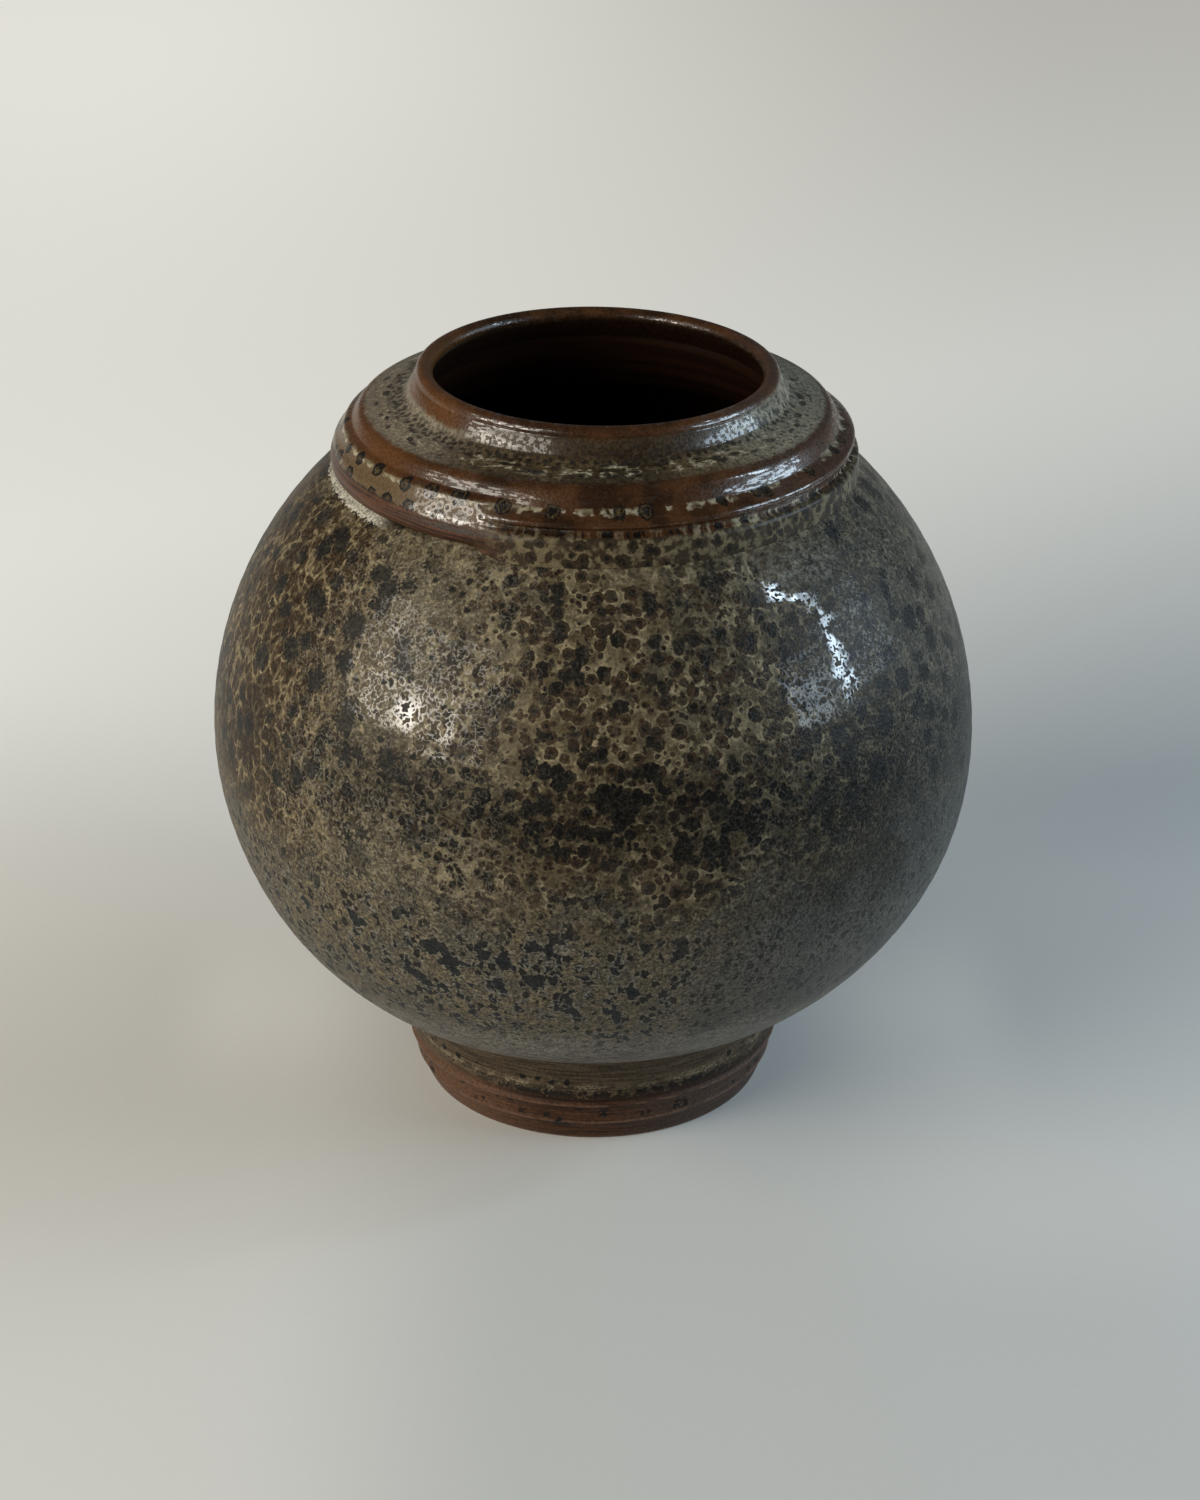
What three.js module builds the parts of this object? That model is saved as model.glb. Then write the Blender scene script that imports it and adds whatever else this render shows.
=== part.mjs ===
// A thrown stoneware vase: a globe on a turned foot, with a tiered collar and a short rolled neck.
// It is made as a potter makes it, from five thrown sections that are luted together with slip.
// Millimetres, +Z up. The origin is on the table, under the centre of the foot.

import * as THREE from 'three';

// Driving dimensions of the globe
const bellyRadius = 79.4; // widest point, outside
const shoulderCurve = 76.8; // radius of the arc from the belly up to the collar
const bellyCurve = 65.5; // radius of the arc from the belly down
const heelCurve = 28; // radius of the tighter arc that turns under to the foot
const heelTurn = 38.4; // degrees from straight down, where the belly arc hands over to the heel arc
const wall = 5.6; // thickness of the two bowls
const floorThickness = 6;

// Driving dimensions of the foot
const footHeight = 23.9;
const footTopRadius = 42; // outside, where the foot meets the globe
const footBaseRadius = 36.3; // outside, on the table
const footBoreTop = 33.5; // inside radius under the globe
const footBoreBase = 30.6; // inside radius on the table
const footBevel = 0.8; // eased edge of the standing ring
const footRidgeSize = 0.9; // roundness of the turned ridges
const footRidgeProud = 0.4; // how far a ridge stands out of the foot's slope
const lowerRidgeHeight = 5.2;
const upperRidgeHeight = 10;
const waistHeight = 14; // where the foot's flare hands over to the neck under the globe
const waistRadius = 40.1;
const footFlare = 1.5; // how fast the side swells above the table, 1 for a straight slope

// Driving dimensions of the collar, with heights measured from its seat on the shoulder
const collarSeatRadius = 52;
const collarHeight = 13.4; // from the seat to the foot of the neck
const bottomTierRadius = 53.6;
const bottomTierHeight = 2.4;
const bottomTierSize = 1.2; // roundness of its edge
const middleTierRadius = 52.7;
const middleTierHeight = 6.1;
const middleTierSize = 0.65; // the crispest edge of the three
const topTierRadius = 48.5;
const topTierHeight = 10.1;
const topTierSize = 1.95; // a broad roll
const grooveDepth = 1.3; // hollow between the bottom and the middle tier
const hollowDepth = 0.6; // dip of the sloping band between the middle and the top tier
const collarBore = 43; // inside radius
const deckThickness = 4.6; // clay under the deck, measured down from the neck's seat

// Driving dimensions of the neck
const neckHeight = 6.7; // from its seat to the top of the lip
const lipRadius = 35.1; // to the middle of the lip's thickness
const lipThickness = 3.5;
const neckFootRadius = 42.5; // outside, where the neck spreads onto the deck
const neckSpread = 1.9; // how far the foot of the neck fills the corner on the deck
const neckBore = 35; // inside radius at its seat

// Luted seams: a flat ledge carries each section, and a tongue inside the ledge keeps it centred
const slip = 0.3; // room for the slip round each tongue
const bellyTongue = 3;
const collarTongue = 2.5;
const neckTongue = 2;
const collarLedge = 3; // width of the ledge on the shoulder's rim
const neckLedge = 4.5; // width of the ledge on the deck

// Fineness of the faceted surfaces
const facets = 60; // round each section
const sag = 0.12; // furthest that a chord may stray from its arc
const bezierSteps = 4;

const radians = THREE.MathUtils.degToRad;
const point = (radius, height) => new THREE.Vector2(radius, height);

// Points along an arc, anticlockwise where the end angle is the larger one, in degrees
function arc(centre, radius, from, to) {
  const widest = 2 * Math.acos(1 - Math.min(sag / radius, 1));
  const count = Math.max(2, Math.ceil(Math.abs(radians(to - from)) / widest));
  return Array.from({ length: count + 1 }, (_, i) => {
    const angle = radians(from + ((to - from) * i) / count);
    return point(centre.x + radius * Math.cos(angle), centre.y + radius * Math.sin(angle));
  });
}

// Points along a soft curve from one point to another, drawn towards a third
function sweep(from, towards, to) {
  return new THREE.QuadraticBezierCurve(from, towards, to).getPoints(bezierSteps);
}

// Where an arc stands at a given radius from the axis, as an angle in degrees
const angleAtRadius = (centre, curve, radius) =>
  THREE.MathUtils.radToDeg(Math.acos((radius - centre.x) / curve));

// Where an arc stands at a given height, as an angle in degrees
const angleAtHeight = (centre, curve, height) =>
  THREE.MathUtils.radToDeg(Math.asin((height - centre.y) / curve));

// A section on the wheel: its outline goes up the outside and back down the inside
function thrown(name, outline, closed, colour, roughness) {
  const profile = closed ? [...outline, outline[0].clone()] : outline;
  const geometry = new THREE.LatheGeometry(profile, facets);
  geometry.rotateX(Math.PI / 2);
  const material = new THREE.MeshStandardMaterial({ color: colour, roughness, metalness: 0 });
  const mesh = new THREE.Mesh(geometry, material);
  mesh.name = name;
  return mesh;
}

// Heights of the seams, from the table up, and the centres of the globe's arcs
const heelSide = Math.sin(radians(heelTurn));
const heelDown = Math.cos(radians(heelTurn));
const heelRadius = bellyRadius - bellyCurve + (bellyCurve - heelCurve) * heelSide;
const heelSeatDrop = Math.sqrt(heelCurve ** 2 - (footTopRadius - heelRadius) ** 2);
const heelCentre = point(heelRadius, footHeight + heelSeatDrop);
const bellyHeight = heelCentre.y + (bellyCurve - heelCurve) * heelDown;
const bellyCentre = point(bellyRadius - bellyCurve, bellyHeight);
const shoulderCentre = point(bellyRadius - shoulderCurve, bellyHeight);
const collarSeatAngle = angleAtRadius(shoulderCentre, shoulderCurve, collarSeatRadius);
const collarSeat = bellyHeight + shoulderCurve * Math.sin(radians(collarSeatAngle));
const neckSeat = collarSeat + collarHeight;
const lipTop = neckSeat + neckHeight;

// The inside follows the outside at the wall's thickness, down to a flat floor
const floorTop = heelCentre.y - (heelCurve - wall);
const floorUnder = floorTop - floorThickness;

function footRing() {
  const side = (height) => {
    const left = 1 - height / waistHeight;
    return waistRadius - (waistRadius - footBaseRadius) * left ** footFlare;
  };
  const ridge = (height) =>
    arc(point(side(height) + footRidgeProud - footRidgeSize, height), footRidgeSize, -60, 60);
  const betweenRidges = (lowerRidgeHeight + upperRidgeHeight) / 2;
  const waist = point(waistRadius, waistHeight);
  const top = point(footTopRadius, footHeight);
  const outline = [
    point(footBoreBase + footBevel, 0),
    point(footBaseRadius - footBevel, 0),
    point(footBaseRadius, footBevel),
    ...ridge(lowerRidgeHeight),
    point(side(betweenRidges), betweenRidges),
    ...ridge(upperRidgeHeight),
    ...sweep(waist, point(waistRadius, (waistHeight + footHeight) / 2), top),
    point(footBoreTop, footHeight),
    point(footBoreBase, footBevel),
  ];
  return thrown('foot_ring', outline, true, 0x5b4334, 0.55);
}

function lowerBowl() {
  const ledge = bellyRadius - wall / 2;
  const tongueFloor = bellyHeight - bellyTongue;
  const seatAngle = -angleAtRadius(heelCentre, heelCurve, footTopRadius);
  const innerTop = angleAtHeight(bellyCentre, bellyCurve - wall, tongueFloor);
  const outline = [
    point(0, floorUnder),
    point(footBoreTop - slip, floorUnder),
    point(footBoreTop - slip, footHeight),
    ...arc(heelCentre, heelCurve, seatAngle, heelTurn - 90),
    ...arc(bellyCentre, bellyCurve, heelTurn - 90, 0).slice(1),
    point(ledge, bellyHeight),
    point(ledge, tongueFloor),
    ...arc(bellyCentre, bellyCurve - wall, innerTop, heelTurn - 90),
    ...arc(heelCentre, heelCurve - wall, heelTurn - 90, -90).slice(1),
    point(0, floorTop),
  ];
  return thrown('lower_bowl', outline, false, 0x6b624d, 0.4);
}

function upperBowl() {
  const ledge = collarSeatRadius - collarLedge;
  const tongueFloor = collarSeat - collarTongue;
  const tongueRadius = bellyRadius - wall / 2 - slip;
  const tongueEnd = bellyHeight - bellyTongue + slip;
  const innerTop = angleAtHeight(shoulderCentre, shoulderCurve - wall, tongueFloor);
  const outline = [
    point(tongueRadius, tongueEnd),
    point(tongueRadius, bellyHeight),
    ...arc(shoulderCentre, shoulderCurve, 0, collarSeatAngle),
    point(ledge, collarSeat),
    point(ledge, tongueFloor),
    ...arc(shoulderCentre, shoulderCurve - wall, innerTop, 0),
    point(bellyRadius - wall, tongueEnd),
  ];
  return thrown('upper_bowl', outline, true, 0x75694f, 0.4);
}

function collarRing() {
  const tongueRadius = collarSeatRadius - collarLedge - slip;
  const tongueEnd = collarSeat - collarTongue + slip;
  const innerAngle = angleAtHeight(shoulderCentre, shoulderCurve - wall, tongueEnd);
  const tongueBore = shoulderCentre.x + (shoulderCurve - wall) * Math.cos(radians(innerAngle));
  const ledge = neckFootRadius - neckLedge;
  const tier = (radius, height, size, from, to) =>
    arc(point(radius - size, collarSeat + height), size, from, to);
  const bottomTier = tier(bottomTierRadius, bottomTierHeight, bottomTierSize, -60, 60);
  const middleTier = tier(middleTierRadius, middleTierHeight, middleTierSize, -75, 60);
  const topTier = tier(topTierRadius, topTierHeight, topTierSize, -20, 80);
  const groove = point(
    (bottomTierRadius + middleTierRadius) / 2 - grooveDepth,
    collarSeat + (bottomTierHeight + middleTierHeight) / 2,
  );
  const bandFrom = middleTier.at(-1);
  const bandTo = topTier[0];
  const dip = bandFrom.clone().lerp(bandTo, 0.5).sub(point(hollowDepth, hollowDepth));
  const deckUnder = neckSeat - deckThickness;
  const outline = [
    point(tongueBore, tongueEnd),
    point(tongueRadius, tongueEnd),
    point(tongueRadius, collarSeat),
    point(collarSeatRadius, collarSeat),
    ...bottomTier,
    groove,
    ...middleTier,
    ...sweep(bandFrom, dip, bandTo).slice(1, -1),
    ...topTier,
    point(neckFootRadius, neckSeat),
    point(ledge, neckSeat),
    point(ledge, neckSeat - neckTongue),
    point(neckBore, neckSeat - neckTongue),
    ...sweep(point(neckBore, deckUnder), point(collarBore, deckUnder), point(collarBore, collarSeat)),
  ];
  return thrown('collar_ring', outline, true, 0x6a4a35, 0.35);
}

function neckRing() {
  const tongueRadius = neckFootRadius - neckLedge - slip;
  const tongueEnd = neckSeat - neckTongue + slip;
  const lipCurve = lipThickness / 2;
  const lipCentre = point(lipRadius, lipTop - lipCurve);
  const spread = point(neckFootRadius, neckSeat);
  const throat = point(lipRadius + lipCurve, lipCentre.y);
  const hollow = point(throat.x + neckSpread, neckSeat + neckSpread);
  const outline = [
    point(neckBore, tongueEnd),
    point(tongueRadius, tongueEnd),
    point(tongueRadius, neckSeat),
    ...sweep(spread, hollow, throat),
    ...arc(lipCentre, lipCurve, 0, 180).slice(1),
  ];
  return thrown('neck_ring', outline, true, 0x5e4230, 0.32);
}

const vase = new THREE.Group();
vase.add(footRing(), lowerBowl(), upperBowl(), collarRing(), neckRing());

export default vase;
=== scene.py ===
# %% [markdown]
# # A thrown stoneware vase
# The pot is a globe on a turned foot, with a tiered collar and a short neck. A potter throws such a pot in
# sections, lutes them together with slip and dips the whole in glaze. This lesson follows the same order:
# the five sections are turned first, then they get the small faults of handwork, and the glazes come last.
# The packed model is loaded as a fixed frame, and its box is kept.

# %% Load the frame
import math

import bpy
import numpy as np
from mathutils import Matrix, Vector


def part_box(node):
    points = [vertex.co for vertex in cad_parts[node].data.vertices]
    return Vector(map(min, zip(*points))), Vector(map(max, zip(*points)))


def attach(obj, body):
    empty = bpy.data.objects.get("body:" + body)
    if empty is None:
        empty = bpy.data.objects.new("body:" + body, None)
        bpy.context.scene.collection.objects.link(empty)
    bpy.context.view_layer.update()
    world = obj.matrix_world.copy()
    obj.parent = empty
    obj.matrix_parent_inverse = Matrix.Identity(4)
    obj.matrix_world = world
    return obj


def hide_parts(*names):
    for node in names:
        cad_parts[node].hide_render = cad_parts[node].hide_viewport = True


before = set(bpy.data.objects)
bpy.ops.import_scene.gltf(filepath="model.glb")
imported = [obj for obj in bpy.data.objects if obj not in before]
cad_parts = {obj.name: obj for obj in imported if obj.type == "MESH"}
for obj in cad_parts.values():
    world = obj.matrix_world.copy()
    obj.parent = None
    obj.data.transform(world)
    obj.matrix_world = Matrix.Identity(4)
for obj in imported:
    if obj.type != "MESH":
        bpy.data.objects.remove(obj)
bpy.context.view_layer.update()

# %% [markdown]
# ## The stations on the wheel
# A thrower works to a few heights: where the foot ends, where the two bowls meet, where the collar and the
# neck sit and where the lip is. They are read from the frame, so the pot follows it if it is ever packed
# anew. Sizes are in millimetres, as on a potter's drawing, and only the finished points are turned to
# metres. The table, the lamps and the camera, which reach further off, are placed in metres from the
# start.

# %% Read the stations
MM = 0.001


def top_of(node):
    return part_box(node)[1].z / MM


foot_top = top_of("foot_ring")
belly_seam = top_of("lower_bowl")
collar_seat = top_of("upper_bowl")
neck_seat = top_of("collar_ring")
lip_top = top_of("neck_ring")
belly_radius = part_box("upper_bowl")[1].x / MM
stations = (foot_top, belly_seam, collar_seat, neck_seat, lip_top, belly_radius)
print("stations", [round(station, 2) for station in stations])

# %% [markdown]
# ## Drawing an outline
# Every section is a solid of revolution, so half of its cross-section is all that has to be drawn. Three
# small helpers give points along an arc, a straight line and a soft curve. The points stand close
# together, because glossy glaze shows every facet. A fourth helper joins such runs and drops points that
# fall together.

# %% Arcs, lines and curves
FINE = 0.3
COARSE = 1.2
SAME_POINT = 0.01


def arc(centre, radius, start, end, step=COARSE):
    length = abs(math.radians(end - start)) * radius
    count = max(3, math.ceil(length / step))
    angles = [math.radians(start + (end - start) * i / count) for i in range(count + 1)]
    return [(centre[0] + radius * math.cos(a), centre[1] + radius * math.sin(a)) for a in angles]


def line(start, end, step=COARSE):
    count = max(1, math.ceil(math.dist(start, end) / step))
    return [tuple(a + (b - a) * i / count for a, b in zip(start, end)) for i in range(count + 1)]


def curve(start, towards, end, step=FINE):
    length = math.dist(start, towards) + math.dist(towards, end)
    count = max(3, math.ceil(length / step))
    points = []
    for i in range(count + 1):
        t = i / count
        weights = ((1 - t) ** 2, 2 * t * (1 - t), t * t)
        points.append(tuple(sum(w * p[k] for w, p in zip(weights, (start, towards, end))) for k in (0, 1)))
    return points


def joined(*runs):
    outline = []
    for point in (p for run in runs for p in run):
        if not outline or math.dist(point, outline[-1]) > SAME_POINT:
            outline.append(point)
    return outline


print("an arc of a quarter turn has", len(arc((0, 0), 10, 0, 90)), "points")

# %% [markdown]
# ## Turning a section
# Blender's Spin works as the wheel does. A plane is added and merged to one point, the point is extruded
# along the outline in edit mode, and Spin carries that edge once round the upright axis. The seam of the
# spin is merged, the normals are made to point outwards, and only true edges stay sharp. A Screw modifier
# would do the same, but Spin leaves a plain mesh that can be shaped by hand afterwards.

# %% Spin an outline
FACETS = 360
SHARP = math.radians(50)
MERGE_WITHIN = 0.002


def turned(name, outline):
    bpy.ops.object.select_all(action="DESELECT")
    bpy.ops.mesh.primitive_plane_add(size=MM)
    section = bpy.context.object
    section.name = name
    section.data.name = name
    bpy.ops.object.mode_set(mode="EDIT")
    bpy.ops.mesh.select_all(action="SELECT")
    bpy.ops.mesh.merge(type="CENTER")
    place = (0.0, 0.0)
    for count, point in enumerate(outline):
        stride = ((point[0] - place[0]) * MM, 0.0, (point[1] - place[1]) * MM)
        if count == 0:
            bpy.ops.transform.translate(value=stride)
        else:
            bpy.ops.mesh.extrude_region_move(TRANSFORM_OT_translate={"value": stride})
        place = point
    bpy.ops.mesh.select_all(action="SELECT")
    bpy.ops.mesh.spin(steps=FACETS, angle=math.tau, center=(0, 0, 0), axis=(0, 0, 1))
    bpy.ops.mesh.select_all(action="SELECT")
    bpy.ops.mesh.remove_doubles(threshold=MERGE_WITHIN * MM)
    bpy.ops.mesh.normals_make_consistent(inside=False)
    bpy.ops.object.mode_set(mode="OBJECT")
    bpy.ops.object.shade_smooth_by_angle(angle=SHARP)
    print(name, len(section.data.polygons), "faces")
    return section


# %% [markdown]
# ## The foot
# The foot was trimmed with a turning tool while the clay was leather-hard. That leaves two raised ridges,
# a hollow waist under the globe and faint chatter lines. A formula gives its radius at each height: a
# straight slope, a flare above the waist, and a small bell curve for each ridge and groove.

# %% Turn the foot
FOOT_BASE = 36.3
FOOT_TOP = 42.0
FOOT_FLARE = 1.5
FOOT_BORE_BASE = 30.6
FOOT_BORE_TOP = 33.5
FOOT_BEVEL = 0.8
WAIST_HEIGHT = 14.0
WAIST_RADIUS = 40.1
WAIST_FLARE = 1.6
FOOT_RIDGES = {5.2: 0.55, 10.0: 0.6, 7.6: -0.3, 13.4: -0.35, 1.9: 0.12}
RIDGE_WIDTH = 0.6
CHATTER_DEPTH = 0.035
CHATTER_PITCH = 1.15
FOOT_LEVELS = 90


def bell(value, middle, width):
    return np.exp(-(((value - middle) / width) ** 2))


def foot_radius(height):
    below = max(0.0, 1 - height / WAIST_HEIGHT)
    slope = WAIST_RADIUS - (WAIST_RADIUS - FOOT_BASE) * below ** FOOT_FLARE
    flare = max(0.0, (height - WAIST_HEIGHT) / (foot_top - WAIST_HEIGHT))
    ridges = sum(size * bell(height, middle, RIDGE_WIDTH) for middle, size in FOOT_RIDGES.items())
    chatter = CHATTER_DEPTH * math.sin(math.tau * height / CHATTER_PITCH) * (1 - flare)
    return slope + (FOOT_TOP - WAIST_RADIUS) * flare ** WAIST_FLARE + ridges + chatter


def foot_outline():
    edge = (foot_radius(FOOT_BEVEL) - FOOT_BEVEL, FOOT_BEVEL)
    levels = np.linspace(FOOT_BEVEL, foot_top, FOOT_LEVELS)
    side = [(foot_radius(z), z) for z in levels[:-1]] + [(FOOT_TOP, foot_top)]
    return joined(
        line((FOOT_BORE_BASE + FOOT_BEVEL, 0), (edge[0], 0)),
        arc(edge, FOOT_BEVEL, -90, 0, step=FINE),
        side,
        line((FOOT_TOP, foot_top), (FOOT_BORE_TOP, foot_top)),
        line((FOOT_BORE_TOP, foot_top), (FOOT_BORE_BASE, FOOT_BEVEL)),
        [(FOOT_BORE_BASE + FOOT_BEVEL, 0)],
    )


foot = turned("thrown_foot", foot_outline())

# %% [markdown]
# ## The two bowls of the globe
# The globe is a little flatter above the belly than a sphere and turns in faster towards the foot. Three
# arcs that meet without a kink give that: the shoulder, the belly and a tighter heel. The inside follows
# the outside at the thickness of the wall. The lower bowl also has the floor of the pot, and reaches to
# the axis. Where the bowls meet, a point stands close to the seam on each side, so that the light runs on
# across it.

# %% Turn the lower bowl
SHOULDER_CURVE = 76.8
BELLY_CURVE = 65.5
HEEL_CURVE = 28.0
HEEL_TURN = 38.4
WALL = 5.6
FLOOR_THICKNESS = 6.0
SEAM_STEP = 0.1
INSIDE_STEP = 2
FLOOR_STEP = 4

heel_gap = BELLY_CURVE - HEEL_CURVE
belly_centre = (belly_radius - BELLY_CURVE, belly_seam)
heel_centre = (
    belly_centre[0] + heel_gap * math.sin(math.radians(HEEL_TURN)),
    belly_seam - heel_gap * math.cos(math.radians(HEEL_TURN)),
)
shoulder_centre = (belly_radius - SHOULDER_CURVE, belly_seam)
floor_top = heel_centre[1] - (HEEL_CURVE - WALL)


def lower_outline():
    under = floor_top - FLOOR_THICKNESS
    meets_foot = -math.degrees(math.acos((FOOT_TOP - heel_centre[0]) / HEEL_CURVE))
    near = math.degrees(SEAM_STEP / BELLY_CURVE)
    return joined(
        line((0, under), (FOOT_BORE_TOP, under), step=FLOOR_STEP),
        line((FOOT_BORE_TOP, under), (FOOT_BORE_TOP, foot_top)),
        line((FOOT_BORE_TOP, foot_top), (FOOT_TOP, foot_top)),
        arc(heel_centre, HEEL_CURVE, meets_foot, HEEL_TURN - 90),
        arc(belly_centre, BELLY_CURVE, HEEL_TURN - 90, -near),
        [(belly_radius, belly_seam), (belly_radius - WALL, belly_seam)],
        arc(belly_centre, BELLY_CURVE - WALL, 0, HEEL_TURN - 90, step=INSIDE_STEP),
        arc(heel_centre, HEEL_CURVE - WALL, HEEL_TURN - 90, -90, step=INSIDE_STEP),
        line((heel_centre[0], floor_top), (0, floor_top), step=FLOOR_STEP),
    )


lower = turned("thrown_lower_bowl", lower_outline())

# %% Turn the upper bowl
seat_rise = collar_seat - belly_seam
seat_angle = math.degrees(math.asin(seat_rise / SHOULDER_CURVE))
seat_radius = shoulder_centre[0] + SHOULDER_CURVE * math.cos(math.radians(seat_angle))
inner_curve = SHOULDER_CURVE - WALL
inner_angle = math.degrees(math.asin(seat_rise / inner_curve))
throat_radius = shoulder_centre[0] + inner_curve * math.cos(math.radians(inner_angle))


def upper_outline():
    near = math.degrees(SEAM_STEP / SHOULDER_CURVE)
    return joined(
        [(belly_radius - WALL, belly_seam), (belly_radius, belly_seam)],
        arc(shoulder_centre, SHOULDER_CURVE, near, seat_angle),
        line((seat_radius, collar_seat), (throat_radius, collar_seat)),
        arc(shoulder_centre, inner_curve, inner_angle, 0, step=INSIDE_STEP),
    )


upper = turned("thrown_upper_bowl", upper_outline())
print("collar seat radius", round(seat_radius, 2), "throat", round(throat_radius, 2))

# %% [markdown]
# ## The collar
# The collar is the part that a thrower shows off with: three tiers, a groove that undercuts the crisp edge
# of the middle one, a narrow shelf, a steep face above it and a sloping deck that carries the neck. The
# glaze breaks rusty on the edges and pools pale in the grooves, so the outline has to be right for the
# glaze to look right. It is drawn as one small rolled edge with soft curves to both sides of it.

# %% Turn the collar
BOTTOM_TIER = 53.6
BOTTOM_SWELL = 2.4
GROOVE_DEPTH = 1.6
GROOVE_HEIGHT = 4.4
MIDDLE_TIER = 52.7
MIDDLE_HEIGHT = 6.25
MIDDLE_ROLL = 0.75
NECK_FOOT = 42.5
NECK_BORE = 35.4


def on_collar(radius, lift):
    return (radius, collar_seat + lift)


def collar_outline():
    seat = on_collar(seat_radius, 0)
    throat = on_collar(throat_radius, 0)
    swell = on_collar(BOTTOM_TIER, BOTTOM_SWELL)
    groove = on_collar(BOTTOM_TIER - GROOVE_DEPTH, GROOVE_HEIGHT)
    roll = on_collar(MIDDLE_TIER - MIDDLE_ROLL, MIDDLE_HEIGHT)
    edge = arc(roll, MIDDLE_ROLL, -75, 62, step=FINE / 2)
    shelf = on_collar(50.2, 8.0)
    face_foot = on_collar(49.35, 8.8)
    face_top = on_collar(48.05, 11.2)
    deck_edge = on_collar(46.3, 12.35)
    return joined(
        line(throat, seat),
        curve(seat, on_collar(BOTTOM_TIER + 0.1, 0.5), swell),
        curve(swell, on_collar(BOTTOM_TIER - 0.1, 3.8), groove),
        curve(groove, on_collar(groove[0] - 0.2, 4.9), edge[0]),
        edge,
        curve(edge[-1], on_collar(51.3, 7.6), shelf),
        curve(shelf, on_collar(49.55, 8.25), face_foot),
        curve(face_foot, on_collar(48.85, 10.1), face_top),
        curve(face_top, on_collar(47.5, 12.05), deck_edge),
        curve(deck_edge, on_collar(44.6, 12.75), (NECK_FOOT, neck_seat)),
        line((NECK_FOOT, neck_seat), (NECK_BORE, neck_seat)),
        curve((NECK_BORE, neck_seat), on_collar(36.8, 6.8), throat, step=1),
    )


collar = turned("thrown_collar", collar_outline())

# %% [markdown]
# ## The neck and its lip
# The neck was thrown last. It spreads in a hollow curve onto the deck without a step, and its lip is
# rolled round between finger and thumb. The inside of the lip shows, so it is as finely drawn as the
# outside.

# %% Turn the neck
LIP_RADIUS = 35.1
LIP_ROLL = 1.75


def on_neck(radius, lift):
    return (radius, neck_seat + lift)


def neck_outline():
    lip = arc((LIP_RADIUS, lip_top - LIP_ROLL), LIP_ROLL, -8, 196, step=FINE)
    bore = on_neck(NECK_BORE, 0)
    spread = on_neck(NECK_FOOT, 0)
    waist = on_neck(38.3, 1.8)
    return joined(
        line(bore, spread),
        curve(spread, on_neck(39.0, 0.3), waist),
        curve(waist, on_neck(37.4, 3.8), lip[0]),
        lip,
        curve(lip[-1], on_neck(33.6, 3), bore),
    )


neck = turned("thrown_neck", neck_outline())
pieces = {
    "foot_ring": foot,
    "lower_bowl": lower,
    "upper_bowl": upper,
    "collar_ring": collar,
    "neck_ring": neck,
}

# %% [markdown]
# ## Where the glaze ran thick
# On one side of the collar the glaze fills the groove between the two lower tiers, so that they read as
# one full band. Round the rest it ran over the bottom tier and drowned it, down onto the shoulder. Both
# change the shape by up to about two millimetres, too much for a material to fake, so the points of the
# collar move.

# %% Drown the collar in glaze
THICK_SIDE = -78
THICK_HALF = 63
THICK_FULL = 50
BAND_TOP = 9.6
BAND_FADE = 1.0
BAND_LEAN = 3.0
BAND_SPAN = 6.4
BAND_SWELL = 1.15
BAND_INNER = 48.6
RUN_INNER = 51.9
RUN_BULGE = 0.4
RUN_DROP = 1.75


def smooth_rise(value, low, high):
    t = np.clip((value - low) / (high - low), 0, 1)
    return t * t * (3 - 2 * t)


def drown_collar(x, y, z):
    turn = np.arctan2(x, -y)
    radius = np.hypot(x, y)
    lift = z - collar_seat
    along = np.cos(turn - math.radians(THICK_SIDE))
    thick = smooth_rise(along, math.cos(math.radians(THICK_HALF)), math.cos(math.radians(THICK_FULL)))
    share = np.clip((lift - BOTTOM_SWELL) / BAND_SPAN, 0, 1)
    face = BOTTOM_TIER - BAND_LEAN * share ** BAND_SWELL
    outside = (radius > BAND_INNER) & (lift > BOTTOM_SWELL) & (lift < BAND_TOP)
    fade = smooth_rise(lift, BAND_TOP, BAND_TOP - BAND_FADE)
    fuller = np.where(outside, (face - radius) * thick * fade, 0)
    sunk = np.clip(1 - lift / BOTTOM_SWELL, 0, 1) * (radius > RUN_INNER) * (1 - thick)
    bulge = BOTTOM_TIER + RUN_BULGE * sunk - radius
    runs = np.where(sunk > 0, bulge * smooth_rise(sunk, 0, 0.3), 0)
    growth = 1 + (fuller + runs) / np.maximum(radius, 1)
    return x * growth, y * growth, z - RUN_DROP * sunk


print("the glaze runs", RUN_DROP, "mm down the shoulder")

# %% [markdown]
# ## The faults of handwork
# No thrown pot is quite true. The neck of this one sits a little off the middle of the collar and dips to
# one side, the undercut groove spirals down as it goes round, the ridges of the foot wander, and the walls
# carry faint throwing rings. One function moves the points of all five sections alike, so the seams stay
# shut. Points on the table are held, so the pot still stands flat.

# %% Push the sections out of true
COLLAR_OFFSET = 0.45
NECK_OFFSET = 1.15
BELLY_LEAN = 0.5
LEAN_HEIGHT = 58.0
LEAN_REACH = 20.0
OVAL = 0.12
OVAL_TURN = 0.7
RIM_DIP = 0.6
GROOVE_SPIRAL = 0.85
GROOVE_REACH = 1.7
RIDGE_WANDER = 0.3
WANDER_TURN = 0.4
RIDGE_HEIGHT = 8.0
RIDGE_REACH = 4.0
RING_DEPTH = 0.035
RING_PITCH = 4.3
FREE_OF_TABLE = (0.5, 3.0)


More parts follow.
